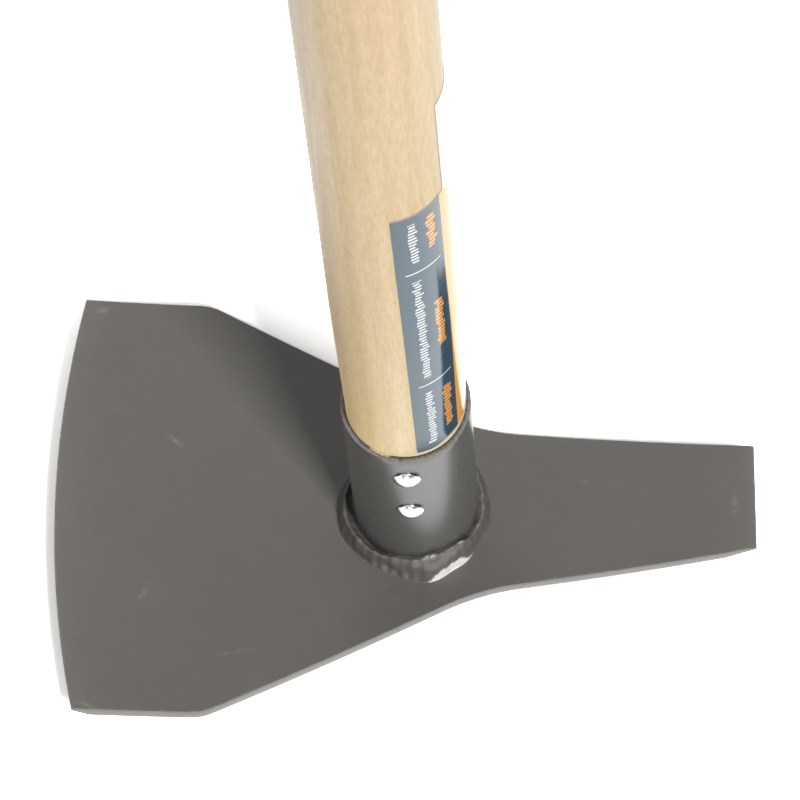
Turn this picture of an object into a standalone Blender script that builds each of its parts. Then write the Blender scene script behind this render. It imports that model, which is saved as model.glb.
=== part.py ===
"""Pick hoe: a dished steel head, hoe blade one way and pick blade the other, with a welded socket
tube and a riveted hardwood handle.

Metres, +Z up the handle, +X towards the pick, +Y across the blades. The origin is on the handle's
axis, at the small flat under the head on which the hoe stands.
"""
import math

import bmesh
import bpy
import numpy as np
from mathutils import Matrix

mm = 0.001

# Clearance between pieces that touch on the real tool
GAP = 0.3 * mm

# Head plate, cut from dished spring steel
PLATE_THICKNESS = 4.0 * mm
DISH_RADIUS = 700.0 * mm          # of the hollow upper face
SOLE_FLAT_DEPTH = 0.1 * mm        # taken off the lowest point, where the hoe stands
HOE_HALF_WIDTH = 75.5 * mm        # at the corners of the cutting edge
HOE_REACH = 123.0 * mm            # handle axis to the middle of the cutting edge
HOE_EDGE_RADIUS = 339.0 * mm      # the cutting edge is an arc in plan
SHOULDER_X = -71.3 * mm           # where the hoe blade's parallel sides end
SHOULDER_HALF_WIDTH = 75.1 * mm
SHOULDER_RADIUS = 16.0 * mm
NECK_X = 21.4 * mm                # where the taper turns into the pick
NECK_HALF_WIDTH = 29.2 * mm
NECK_RADIUS = 80.0 * mm
PICK_REACH = 115.0 * mm
PICK_HALF_WIDTH = 18.8 * mm
HOE_BEVEL = 6.0 * mm              # ground from underneath, inwards from the edge
PICK_BEVEL = 11.0 * mm
EDGE_THICKNESS = 1.2 * mm         # left at both cutting edges
PLATE_COLUMNS = 21                # points across the plate

# Socket tube, 42.4 x 2 mm
TUBE_RADIUS = 21.2 * mm
TUBE_WALL = 2.0 * mm
TUBE_HEIGHT = 92.0 * mm           # above the plate, along the axis
RIM_CHAMFER = 0.25 * mm

# Weld bead
BEAD_FOOT = 5.0 * mm              # mean width on the plate
BEAD_LEG = 9.0 * mm               # mean height on the tube
BEAD_CROWN = 0.7 * mm             # bulge of its face
TOE_LOBES = 1.25 * mm             # the bead spreads out on the plate in three places
TOE_SWAY = 0.5 * mm               # and is wider on two sides than on the others
LEG_WAVE = 0.7 * mm
BEAD_RIPPLES = 38
RIPPLE_HEIGHT = 0.16 * mm
RIPPLE_STEPS = 5                  # sections that draw one ripple
FACE_STEPS = 5                    # points from the foot of the face to its top

# Handle
HANDLE_LENGTH = 1372.0 * mm
HANDLE_RADIUS = 20.4 * mm
HANDLE_STRAIGHT = 420.0 * mm      # full thickness above the rim, before it slims to the grip
GRIP_RADIUS = 17.5 * mm
GRIP_ROUNDING = 10.0 * mm
MOUTH_RADIUS = 19.5 * mm          # of the wood just above the rim
MOUTH_HEIGHT = 4.0 * mm
SWELL_LENGTH = 80.0 * mm          # over which the wood reaches its full radius above the rim
TENON_CLEARANCE = 5.0 * mm        # between the tenon's end and the plate
TENON_CHAMFER = 1.5 * mm

# Rivets
RIVET_RADIUS = 2.5 * mm
RIVET_HEAD_RADIUS = 4.65 * mm
RIVET_HEAD_HEIGHT = 1.9 * mm
RIVET_HEAD_LIP = 0.45 * mm        # upright edge below the dome
UPPER_RIVET_DROP = 14.0 * mm      # below the rim
LOWER_RIVET_DROP = 40.0 * mm

# Label
LABEL_THICKNESS = 0.3 * mm
LABEL_LIFT = 3.3 * mm             # its lower edge above the rim
LABEL_TOP = 171.0 * mm            # above the rim
LABEL_TAB_TOP = 223.0 * mm
LABEL_START = -80.0               # degrees round the handle from +X
LABEL_TAB_START = -26.0
LABEL_END = 75.0

# Heights that follow
PLATE_TOP = PLATE_THICKNESS - SOLE_FLAT_DEPTH
DISH_CENTRE_Z = PLATE_TOP + DISH_RADIUS
RIM_Z = PLATE_TOP + TUBE_HEIGHT
TENON_END_Z = PLATE_TOP + TENON_CLEARANCE
GRIP_END_Z = TENON_END_Z + HANDLE_LENGTH
RIVET_SEAT = TUBE_RADIUS + GAP    # where the underside of a rivet's head rests


def clear_scene():
    """Take out whatever the file holds."""
    for old in list(bpy.data.objects):
        bpy.data.objects.remove(old, do_unlink=True)


def new_collection(name):
    collection = bpy.data.collections.new(name)
    bpy.context.scene.collection.children.link(collection)
    return collection


def finish(name, color, roughness, metallic=0.0):
    """A plain material in the piece's own colour."""
    material = bpy.data.materials.new(name)
    material.use_nodes = True
    surface = material.node_tree.nodes["Principled BSDF"]
    surface.inputs["Base Color"].default_value = (*color, 1.0)
    surface.inputs["Roughness"].default_value = roughness
    surface.inputs["Metallic"].default_value = metallic
    return material


def add_piece(name, mesh):
    piece = bpy.data.objects.new(name, mesh)
    pieces.objects.link(piece)
    return piece


def add_cutter(name, mesh):
    """A solid for a Boolean, kept out of the part."""
    cutter = bpy.data.objects.new(name, mesh)
    cutter.hide_render = True
    cutter.display_type = "WIRE"
    cutters.objects.link(cutter)
    return cutter


def combine(piece, operation, cutter):
    boolean = piece.modifiers.new(cutter.name, "BOOLEAN")
    boolean.operation = operation
    boolean.solver = "EXACT"
    boolean.object = cutter


def thicken(piece, thickness, offset):
    solid = piece.modifiers.new("thickness", "SOLIDIFY")
    solid.thickness = thickness
    solid.offset = offset
    return solid


def complete(piece, material, sharp_angle=30.0):
    """Turn the modifiers' result into the piece's own mesh, shade it and give it its finish."""
    bpy.context.view_layer.update()
    evaluated = piece.evaluated_get(bpy.context.evaluated_depsgraph_get())
    mesh = bpy.data.meshes.new_from_object(evaluated)
    piece.modifiers.clear()
    piece.data = mesh
    mesh.name = piece.name
    mesh.shade_smooth()
    mesh.set_sharp_from_angle(angle=math.radians(sharp_angle))
    mesh.materials.clear()
    mesh.materials.append(material)


def profile_lines(name, profiles):
    """Lines through (radius, height) points, each profile running down its outer side. One that
    starts off the axis is closed."""
    points, edges = [], []
    for profile in profiles:
        first = len(points)
        points += [(radius, 0.0, height) for radius, height in profile]
        edges += [(i, i + 1) for i in range(first, len(points) - 1)]
        if profile[0][0] > 0.0:
            edges.append((len(points) - 1, first))
    mesh = bpy.data.meshes.new(name)
    mesh.from_pydata(points, edges, [])
    return mesh


def turn(blank, steps):
    """Turn the object's profile round Z."""
    screw = blank.modifiers.new("turn", "SCREW")
    screw.steps = steps
    screw.render_steps = steps
    screw.use_merge_vertices = True
    screw.merge_threshold = 0.00001


def cross_pin(name, radius, length, height, segments):
    """A cylinder across the handle's axis, along Y, for a hole or a shank."""
    mesh = bpy.data.meshes.new(name)
    form = bmesh.new()
    bmesh.ops.create_cone(form, cap_ends=True, segments=segments, radius1=radius, radius2=radius,
                          depth=length, matrix=Matrix.Rotation(math.radians(90.0), 4, "X"))
    bmesh.ops.translate(form, verts=form.verts, vec=(0.0, 0.0, height))
    form.to_mesh(mesh)
    form.free()
    return add_cutter(name, mesh)


def sheet(name, rows, columns, place):
    """An open sheet of rows by columns points set by place(row, column), and each point's row."""
    mesh = bpy.data.meshes.new(name)
    form = bmesh.new()
    bmesh.ops.create_grid(form, x_segments=rows - 1, y_segments=columns - 1, size=1.0)
    row_of = [round((vertex.co.x + 1.0) / 2.0 * (rows - 1)) for vertex in form.verts]
    column_of = [round((vertex.co.y + 1.0) / 2.0 * (columns - 1)) for vertex in form.verts]
    for vertex, row, column in zip(form.verts, row_of, column_of):
        vertex.co = place(row, column)
    form.to_mesh(mesh)
    form.free()
    return mesh, row_of


def dish_top(radius):
    """Height of the plate's upper face at a distance from the handle's axis."""
    return DISH_CENTRE_Z - math.sqrt(DISH_RADIUS ** 2 - radius ** 2)


def edge_bow(y):
    """How far the hoe's cutting edge falls back from its middle at a distance y to one side."""
    return HOE_EDGE_RADIUS - math.sqrt(HOE_EDGE_RADIUS ** 2 - y ** 2)


def rounded_corner(before, corner, after, radius, count):
    """Points of the arc that rounds a corner between two straight runs."""
    before, corner, after = (np.array(point) for point in (before, corner, after))
    back = (before - corner) / np.linalg.norm(before - corner)
    ahead = (after - corner) / np.linalg.norm(after - corner)
    half_angle = math.acos(float(back @ ahead)) / 2.0
    bisector = (back + ahead) / np.linalg.norm(back + ahead)
    centre = corner + bisector * radius / math.sin(half_angle)
    start = corner + back * radius / math.tan(half_angle) - centre
    end = corner + ahead * radius / math.tan(half_angle) - centre
    spokes = [start * (1.0 - share) + end * share for share in np.linspace(0.0, 1.0, count)]
    return np.array([centre + spoke * radius / np.linalg.norm(spoke) for spoke in spokes])


def make_head_plate():
    """A sheet on the dish. Its rows bow with the hoe's cutting edge and straighten at the
    shoulders, and its thickness falls to the edge over each bevel."""
    corner = (edge_bow(HOE_HALF_WIDTH) - HOE_REACH, HOE_HALF_WIDTH)
    shoulder = (SHOULDER_X, SHOULDER_HALF_WIDTH)
    neck = (NECK_X, NECK_HALF_WIDTH)
    tip = (PICK_REACH, PICK_HALF_WIDTH)
    shoulder_arc = rounded_corner(corner, shoulder, neck, SHOULDER_RADIUS, 4)
    neck_arc = rounded_corner(shoulder, neck, tip, NECK_RADIUS, 6)
    side = np.concatenate([[corner], shoulder_arc, neck_arc, [tip]])

    bevel_x = HOE_BEVEL - HOE_REACH
    straight_x = shoulder_arc[0, 0]
    hoe_rows = np.linspace(bevel_x, straight_x, 6)[:-1]
    taper_rows = np.linspace(shoulder_arc[-1, 0], neck_arc[0, 0], 10)[1:-1]
    pick_rows = np.linspace(neck_arc[-1, 0], PICK_REACH - PICK_BEVEL, 8)[1:]
    row_x = np.concatenate([[-HOE_REACH], hoe_rows, shoulder_arc[:, 0], taper_rows,
                            neck_arc[:, 0], pick_rows, [PICK_REACH]])

    def place(row, column):
        bow = np.clip((straight_x - row_x[row]) / (straight_x - bevel_x), 0.0, 1.0)
        side_x = row_x[row] + bow * edge_bow(HOE_HALF_WIDTH)
        half_width = np.interp(side_x, side[:, 0], side[:, 1])
        y = half_width * (2.0 * column / (PLATE_COLUMNS - 1) - 1.0)
        x = row_x[row] + bow * edge_bow(y)
        return x, y, dish_top(math.hypot(x, y))

    mesh, row_of = sheet("head_plate", len(row_x), PLATE_COLUMNS, place)
    plate = add_piece("head_plate", mesh)
    full = plate.vertex_groups.new(name="full_thickness")
    full.add([i for i, row in enumerate(row_of) if 0 < row < len(row_x) - 1], 1.0, "REPLACE")
    solid = thicken(plate, PLATE_THICKNESS, -1.0)
    solid.vertex_group = full.name
    solid.thickness_vertex_group = EDGE_THICKNESS / PLATE_THICKNESS

    # The flat on which the hoe stands
    ground_size = 40.0 * mm
    ground = bpy.data.meshes.new("ground")
    form = bmesh.new()
    bmesh.ops.create_cube(form, size=ground_size)
    bmesh.ops.translate(form, verts=form.verts, vec=(0.0, 0.0, -ground_size / 2.0))
    form.to_mesh(ground)
    form.free()
    combine(plate, "DIFFERENCE", add_cutter("ground", ground))
    complete(plate, head_paint, 10.0)


def make_socket_tube():
    """A turned tube whose foot follows the dish, with the rim's burr broken."""
    bore = TUBE_RADIUS - TUBE_WALL
    profile = [
        (TUBE_RADIUS - RIM_CHAMFER, RIM_Z), (TUBE_RADIUS, RIM_Z - RIM_CHAMFER),
        (TUBE_RADIUS, dish_top(TUBE_RADIUS) + GAP), (bore, dish_top(bore) + GAP),
        (bore, RIM_Z - RIM_CHAMFER), (bore + RIM_CHAMFER, RIM_Z)]
    tube = add_piece("socket_tube", profile_lines("socket_tube", [profile]))
    turn(tube, 96)
    for hole in rivet_holes:
        combine(tube, "DIFFERENCE", hole)
    complete(tube, tube_paint)


def make_weld_bead():
    """One run laid by hand round the tube's foot: its size wanders, and each puddle leaves a
    ripple."""
    inner = TUBE_RADIUS + GAP

    def section(angle):
        """The bead's outline at one angle: the root, then the face from foot to leg."""
        foot = BEAD_FOOT - TOE_LOBES * math.cos(3.0 * angle - 0.3) - TOE_SWAY * math.sin(2.0 * angle)
        leg = BEAD_LEG + LEG_WAVE * math.sin(3.0 * angle + 2.1)
        base = dish_top(inner + foot) + GAP
        outline = [(inner, dish_top(inner) + GAP), (inner + foot, base)]
        for step in range(1, FACE_STEPS + 1):
            along = step / (FACE_STEPS + 0.5)
            puddle = math.cos(BEAD_RIPPLES * angle + 1.2 * math.sin(math.pi * along))
            bulge = (BEAD_CROWN + RIPPLE_HEIGHT * puddle) * math.sin(math.pi * along)
            outline.append((inner + foot * (1.0 - along) + bulge, base + leg * along + bulge))
        outline.append((inner, base + leg))
        return outline

    form = bmesh.new()
    rings = []
    for angle in np.linspace(0.0, 2.0 * math.pi, BEAD_RIPPLES * RIPPLE_STEPS, endpoint=False):
        rings.append([form.verts.new((radius * math.cos(angle), radius * math.sin(angle), z))
                      for radius, z in section(angle)])
    for ring, following in zip(rings, rings[1:] + rings[:1]):
        for k in range(len(ring)):
            after = (k + 1) % len(ring)
            form.faces.new((ring[k], following[k], following[after], ring[after]))
    mesh = bpy.data.meshes.new("weld_bead")
    form.to_mesh(mesh)
    form.free()
    complete(add_piece("weld_bead", mesh), weld_paint, 50.0)


def make_handle():
    """Turned from the grip's rounded end down to the tenon inside the socket."""
    rounding_z = GRIP_END_Z - GRIP_ROUNDING
    rounding = [(GRIP_RADIUS - GRIP_ROUNDING * (1.0 - math.sin(angle)),
                 rounding_z + GRIP_ROUNDING * math.cos(angle))
                for angle in np.radians(np.linspace(0.0, 90.0, 7))]
    straight_z = RIM_Z + HANDLE_STRAIGHT
    slimming = [(GRIP_RADIUS + (HANDLE_RADIUS - GRIP_RADIUS) * math.sin(math.pi / 2.0 * share),
                 rounding_z + (straight_z - rounding_z) * share) for share in (0.25, 0.5, 0.75, 1.0)]
    swell = [(handle_radius(height), RIM_Z + height)
             for height in np.linspace(SWELL_LENGTH, MOUTH_HEIGHT, 3)]
    tenon = TUBE_RADIUS - TUBE_WALL - GAP
    profile = [(0.0, GRIP_END_Z)] + rounding + slimming + swell + [
        (tenon, RIM_Z + GAP), (tenon, TENON_END_Z + TENON_CHAMFER),
        (tenon - TENON_CHAMFER, TENON_END_Z), (0.0, TENON_END_Z)]
    handle = add_piece("handle", profile_lines("handle", [profile]))
    turn(handle, 64)
    for hole in rivet_holes:
        combine(handle, "DIFFERENCE", hole)
    complete(handle, handle_wood)


def make_rivet(name, height):
    """Both heads are drawn down onto the tube's curve, and the shank joins them."""
    skirt = RIVET_SEAT - 1.2 * mm
    dome_height = RIVET_HEAD_HEIGHT - RIVET_HEAD_LIP
    dome_radius = (RIVET_HEAD_RADIUS ** 2 + dome_height ** 2) / (2.0 * dome_height)
    dome_centre = RIVET_SEAT + RIVET_HEAD_HEIGHT - dome_radius
    front = [(dome_radius * math.sin(angle), dome_centre + dome_radius * math.cos(angle))
             for angle in np.linspace(0.0, math.asin(RIVET_HEAD_RADIUS / dome_radius), 7)]
    front += [(RIVET_HEAD_RADIUS, skirt), (0.0, skirt)]
    back = [(radius, -z) for radius, z in reversed(front)]
    rivet = add_piece(name, profile_lines(name, [front, back]))
    rivet.rotation_euler = (math.radians(90.0), 0.0, 0.0)
    rivet.location = (0.0, 0.0, height)
    turn(rivet, 32)
    combine(rivet, "DIFFERENCE", saddle)
    into_head = 0.6 * mm
    combine(rivet, "UNION",
            cross_pin(name + "_shank", RIVET_RADIUS, 2.0 * (RIVET_SEAT + into_head), height, 24))
    complete(rivet, zinc)


def handle_radius(height):
    """Radius of the handle's lower end at a height above the rim."""
    return np.interp(height, (MOUTH_HEIGHT, SWELL_LENGTH), (MOUTH_RADIUS, HANDLE_RADIUS))


def make_label():
    """A sleeve part of the way round the handle, with a tab that stands higher on one side."""
    angles = np.concatenate([np.linspace(LABEL_START, LABEL_TAB_START, 12),
                             np.linspace(LABEL_TAB_START, LABEL_END, 20)[1:]])
    heights = [LABEL_LIFT, MOUTH_HEIGHT, 0.5 * SWELL_LENGTH, SWELL_LENGTH, LABEL_TOP, LABEL_TAB_TOP]

    def place(row, column):
        angle = math.radians(angles[row])
        radius = handle_radius(heights[column]) + GAP
        return radius * math.cos(angle), radius * math.sin(angle), RIM_Z + heights[column]

    def beside_tab(face):
        middle = face.calc_center_median()
        angle = math.degrees(math.atan2(middle.y, middle.x))
        return middle.z > RIM_Z + LABEL_TOP and angle < LABEL_TAB_START

    mesh, _ = sheet("label", len(angles), len(heights), place)
    form = bmesh.new()
    form.from_mesh(mesh)
    bmesh.ops.delete(form, geom=[face for face in form.faces if beside_tab(face)],
                     context="FACES")
    form.to_mesh(mesh)
    form.free()
    label = add_piece("label", mesh)
    thicken(label, LABEL_THICKNESS, 1.0)
    complete(label, label_print)


clear_scene()
pieces = new_collection("pick_hoe")
cutters = new_collection("cutters")

head_paint = finish("head_paint", (0.165, 0.158, 0.145), 0.5)
tube_paint = finish("tube_paint", (0.13, 0.125, 0.118), 0.4)
weld_paint = finish("weld_paint", (0.12, 0.11, 0.10), 0.35)
handle_wood = finish("handle_wood", (0.78, 0.62, 0.38), 0.55)
zinc = finish("zinc", (0.85, 0.86, 0.86), 0.2, metallic=1.0)
label_print = finish("label_print", (0.03, 0.06, 0.09), 0.2)

rivet_heights = {"upper_rivet": RIM_Z - UPPER_RIVET_DROP, "lower_rivet": RIM_Z - LOWER_RIVET_DROP}
rivet_holes = [cross_pin(name + "_hole", RIVET_RADIUS + GAP, 3.0 * TUBE_RADIUS, height, 32)
               for name, height in rivet_heights.items()]
saddle = add_cutter("saddle", profile_lines("saddle", [[
    (0.0, RIM_Z), (RIVET_SEAT, RIM_Z), (RIVET_SEAT, PLATE_TOP), (0.0, PLATE_TOP)]]))
turn(saddle, 96)

make_head_plate()
make_socket_tube()
make_weld_bead()
make_handle()
for rivet_name, rivet_height in rivet_heights.items():
    make_rivet(rivet_name, rivet_height)
make_label()
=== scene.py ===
"""Pick hoe: a head cut from dished steel plate, a welded socket tube and a riveted ash handle."""
import math

import bmesh
import bpy
import numpy as np
from mathutils import Matrix, Vector


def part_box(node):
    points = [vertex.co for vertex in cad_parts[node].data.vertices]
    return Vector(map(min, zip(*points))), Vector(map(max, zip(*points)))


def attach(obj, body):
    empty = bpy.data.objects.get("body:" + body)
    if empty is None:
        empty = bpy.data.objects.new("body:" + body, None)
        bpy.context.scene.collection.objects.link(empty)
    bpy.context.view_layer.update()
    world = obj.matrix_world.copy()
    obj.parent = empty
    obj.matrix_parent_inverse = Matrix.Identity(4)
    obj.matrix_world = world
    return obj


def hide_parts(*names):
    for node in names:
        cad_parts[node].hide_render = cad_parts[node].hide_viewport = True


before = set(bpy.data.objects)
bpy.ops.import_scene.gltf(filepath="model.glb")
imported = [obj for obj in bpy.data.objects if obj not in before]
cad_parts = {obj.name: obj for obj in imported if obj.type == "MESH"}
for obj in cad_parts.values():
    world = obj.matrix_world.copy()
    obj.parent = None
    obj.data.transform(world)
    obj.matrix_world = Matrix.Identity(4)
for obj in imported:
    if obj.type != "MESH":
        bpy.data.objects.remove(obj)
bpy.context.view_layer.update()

# The view: from in front of the neck, steeply down a long lens at the socket's mouth, with the
# camera tilted a few degrees to one side.
mm = 0.001
LENS, SENSOR = 205.29, 36.0           # both in mm
VIEW_DISTANCE = 1474.6 * mm
VIEW_AZIMUTH = 5.967                  # degrees from -Y towards +X
VIEW_ELEVATION = 65.740
VIEW_TILT = 6.205
VIEW_AIM = Vector((-1.8, 0.6, 95.9)) * mm


def stand_off(aim, azimuth, elevation, distance):
    """A matrix that puts a camera or lamp at a distance from a point and turns it to face it."""
    azimuth, elevation = math.radians(azimuth), math.radians(elevation)
    away = Vector((math.sin(azimuth) * math.cos(elevation),
                   -math.cos(azimuth) * math.cos(elevation), math.sin(elevation)))
    turned = (-away).to_track_quat("-Z", "Y").to_matrix().to_4x4()
    return Matrix.Translation(aim + away * distance) @ turned


camera = bpy.data.objects.new("camera", bpy.data.cameras.new("camera"))
bpy.context.scene.collection.objects.link(camera)
camera.data.lens = LENS
camera.data.sensor_width = SENSOR
camera.data.clip_end = 100.0
camera.matrix_world = (stand_off(VIEW_AIM, VIEW_AZIMUTH, VIEW_ELEVATION, VIEW_DISTANCE)
                       @ Matrix.Rotation(math.radians(-VIEW_TILT), 4, "Z"))
bpy.context.scene.camera = camera
bpy.context.scene.view_settings.view_transform = "Standard"


# The studio: a white sweep, lit so brightly that only its deepest shade shows, which throws light
# up and makes a bright band in whatever shines. One small softbox stands to the right, in front.
FLOOR_SIZE = 24.0
FLOOR_ALBEDO = 0.9
FLOOR_EXPOSURE = 6.4                  # how far the lens overexposes the sweep
CONTACT_REACH, CONTACT_DEPTH = 17.0 * mm, 1.5   # the shade close under the head
FLOOR_BOUNCE = 0.22                   # light that the sweep gives off, beyond what falls on it
FLOOR_IN_GLOSS = 1.25                 # and more of it in reflections
KEY_AZIMUTH, KEY_ELEVATION, KEY_DISTANCE = 32.0, 52.0, 3.0
KEY_SIZE, KEY_POWER = 0.55, 80.0
WORLD_LEVEL = 0.19
WORLD_IN_GLOSS = 1.15
HORIZON_IN_GLOSS = 0.2                # the room beyond the sweep is dark low down
HORIZON_LOW, HORIZON_HIGH = 0.12, 0.55         # and brightens between these sines of elevation
FAR_LAMPS = ((-92.0, 6.0), (-128.0, 4.0))      # two that show only in gloss: azimuth, elevation
FAR_LAMP_STRENGTH = 3.5
FAR_LAMP_RIM, FAR_LAMP_CORE = 0.975, 0.993     # cosines of the angle from a lamp's middle
SWEEP_DROP = 0.1 * mm                 # the sweep lies this far under the sole


def put_node(tree, kind, inputs=None, **settings):
    """A node with its settings, and its inputs given as values or as sockets to link."""
    node = tree.nodes.new(kind)
    for setting, value in settings.items():
        setattr(node, setting, value)
    for socket, value in (inputs or {}).items():
        if isinstance(value, bpy.types.NodeSocket):
            tree.links.new(value, node.inputs[socket])
        else:
            node.inputs[socket].default_value = value
    return node


def put_math(tree, operation, first, second=0.0, clamp=False):
    return put_node(tree, "ShaderNodeMath", {0: first, 1: second}, operation=operation,
                    use_clamp=clamp).outputs[0]


def put_step(tree, value, low, high, low_out=0.0, high_out=1.0):
    """A smooth ramp between two values."""
    return put_node(tree, "ShaderNodeMapRange", {
        "Value": value, "From Min": low, "From Max": high, "To Min": low_out, "To Max": high_out},
        interpolation_type="SMOOTHSTEP").outputs["Result"]


world = bpy.data.worlds.new("studio")
bpy.context.scene.world = world
world.use_nodes = True
tree = world.node_tree
path = put_node(tree, "ShaderNodeLightPath").outputs
seen = put_math(tree, "MAXIMUM", path["Is Camera Ray"], path["Is Transmission Ray"])
direction = put_node(tree, "ShaderNodeTexCoord").outputs["Generated"]
upward = put_node(tree, "ShaderNodeSeparateXYZ", {0: direction}).outputs["Z"]
room = put_step(tree, upward, HORIZON_LOW, HORIZON_HIGH, HORIZON_IN_GLOSS, WORLD_IN_GLOSS)
for azimuth, elevation in FAR_LAMPS:
    azimuth, elevation = math.radians(azimuth), math.radians(elevation)
    towards = (math.cos(azimuth) * math.cos(elevation), math.sin(azimuth) * math.cos(elevation),
               math.sin(elevation))
    aligned = put_node(tree, "ShaderNodeVectorMath", {0: direction, 1: towards},
                       operation="DOT_PRODUCT").outputs["Value"]
    lamp_face = put_step(tree, aligned, FAR_LAMP_RIM, FAR_LAMP_CORE, 0.0, FAR_LAMP_STRENGTH)
    room = put_math(tree, "ADD", room, lamp_face)
level = put_node(tree, "ShaderNodeMapRange", {
    "Value": path["Is Glossy Ray"], "To Min": WORLD_LEVEL, "To Max": room})
tree.links.new(put_math(tree, "MAXIMUM", seen, level.outputs["Result"]),
               tree.nodes["Background"].inputs["Strength"])
tree.nodes["Background"].inputs["Color"].default_value = (1.0, 1.0, 1.0, 1.0)

lamp = bpy.data.lights.new("softbox", "AREA")
lamp.shape = "SQUARE"
lamp.size = KEY_SIZE
lamp.energy = KEY_POWER
softbox = bpy.data.objects.new("softbox", lamp)
bpy.context.scene.collection.objects.link(softbox)
softbox.matrix_world = stand_off(VIEW_AIM, KEY_AZIMUTH, KEY_ELEVATION, KEY_DISTANCE)

sweep_material = bpy.data.materials.new("sweep")
sweep_material.use_nodes = True
tree = sweep_material.node_tree
tree.nodes.clear()
path = put_node(tree, "ShaderNodeLightPath").outputs
seen = put_math(tree, "MAXIMUM", path["Is Camera Ray"], path["Is Transmission Ray"])
white = put_node(tree, "ShaderNodeMapRange", {
    "Value": seen, "To Min": FLOOR_ALBEDO, "To Max": FLOOR_ALBEDO * FLOOR_EXPOSURE})
contact = put_node(tree, "ShaderNodeAmbientOcclusion", {"Distance": CONTACT_REACH})
shade = put_math(tree, "POWER", contact.outputs["AO"], put_math(tree, "MULTIPLY", seen,
                                                                CONTACT_DEPTH))
matt = put_node(tree, "ShaderNodeBsdfDiffuse", {
    "Color": put_math(tree, "MULTIPLY", white.outputs["Result"], shade)})
bounce = put_node(tree, "ShaderNodeMapRange", {
    "Value": path["Is Glossy Ray"], "To Min": FLOOR_BOUNCE, "To Max": FLOOR_IN_GLOSS})
unseen = put_math(tree, "SUBTRACT", 1.0, seen)
glow = put_node(tree, "ShaderNodeEmission", {
    "Strength": put_math(tree, "MULTIPLY", bounce.outputs["Result"], unseen)})
both = put_node(tree, "ShaderNodeAddShader", {0: matt.outputs[0], 1: glow.outputs[0]})
put_node(tree, "ShaderNodeOutputMaterial", {"Surface": both.outputs[0]})

sweep_mesh = bpy.data.meshes.new("sweep")
form = bmesh.new()
bmesh.ops.create_grid(form, x_segments=1, y_segments=1, size=FLOOR_SIZE / 2.0)
form.to_mesh(sweep_mesh)
form.free()
sweep_mesh.materials.append(sweep_material)
sweep = bpy.data.objects.new("sweep", sweep_mesh)
bpy.context.scene.collection.objects.link(sweep)
sweep.location.z = -SWEEP_DROP


# Head plate: 4 mm spring steel, cut from a dished blank so that it is hollow towards the handle.
# The hoe's edge is an arc, the pick's is straight, and both are ground from underneath. It is
# sprayed a satin grey-brown, which has dulled and scuffed.
PLATE_THICKNESS = 4.0 * mm
DISH_RADIUS = 700.0 * mm
SOLE_FLAT_DEPTH = 0.1 * mm
HOE_HALF_WIDTH = 75.5 * mm
HOE_REACH = 123.0 * mm
HOE_EDGE_RADIUS = 339.0 * mm
SHOULDER_X, SHOULDER_HALF_WIDTH, SHOULDER_RADIUS = -71.3 * mm, 75.1 * mm, 16.0 * mm
NECK_X, NECK_HALF_WIDTH, NECK_RADIUS = 21.4 * mm, 29.2 * mm, 80.0 * mm
PICK_REACH = 115.0 * mm
PICK_HALF_WIDTH = 18.8 * mm
HOE_BEVEL, PICK_BEVEL = 6.0 * mm, 11.0 * mm
EDGE_THICKNESS = 1.2 * mm
ROLL_LENGTH, ROLL_DROP = 6.0 * mm, 0.35 * mm   # the pick's face turns down at its end
EDGE_ROUNDING = 0.4 * mm
EDGE_FADE = 1.2 * mm                  # how far wear reaches in from the cut edges
PLATE_TOP = PLATE_THICKNESS - SOLE_FLAT_DEPTH
PLATE_ROWS, PLATE_COLUMNS = 150, 91
HOE_BEVEL_ROWS, PICK_BEVEL_ROWS = 8, 14
COLUMN_CROWDING = 0.35                # the columns lie closer together by the plate's sides
EDGE_HIGHLIGHT, EDGE_HIGHLIGHT_WIDTH = 0.25, 9.0 * mm    # painted highlight: paint made paler towards the hoe's edge and the pick's tip, for the light they catch
WELD_FRONT_PATCH = (9.0, -37.0, 42.0, 22.0, 24.0)    # x, y, length, width, turn: a patch in front of the weld where the paint is darker
WELD_FRONT_DARKENING = 0.22
SCUFFS = (                            # x, y, length, width in mm, turn in degrees, strength
    (-82.5, 25.0, 6.5, 1.3, -34.0, 0.5), (-109.0, 71.0, 4.5, 2.4, 20.0, 0.55),
    (-110.0, -73.5, 4.0, 1.3, -24.0, 0.6), (-92.0, -31.0, 5.0, 1.6, 60.0, 0.3),
    (108.0, -2.0, 7.0, 2.2, 86.0, 0.35), (-60.0, -52.0, 9.0, 0.8, 12.0, 0.25),
    (60.0, 9.0, 7.0, 0.7, -8.0, 0.25))
SPOT_REACH = 8.0 * mm                 # how far the darker patch or a scuff reaches above and below the face
HEAD_PAINT = (0.125, 0.118, 0.107, 1.0)
HEAD_SCUFFED = (0.36, 0.31, 0.27, 1.0)
HEAD_WORN = (0.30, 0.28, 0.26, 1.0)
PATCH_BLACK = (0.0, 0.0, 0.0, 1.0)
DUST = (0.42, 0.39, 0.35, 1.0)
HEAD_ROUGHNESS, SCUFF_ROUGHNESS = 0.42, 0.2    # the second is added to the first


def dish_top(radius):
    """Height of the plate's upper face at a distance from the handle's axis."""
    return PLATE_TOP + DISH_RADIUS - np.sqrt(DISH_RADIUS ** 2 - np.square(radius))


def edge_bow(y):
    return HOE_EDGE_RADIUS - np.sqrt(HOE_EDGE_RADIUS ** 2 - np.square(y))


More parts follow.
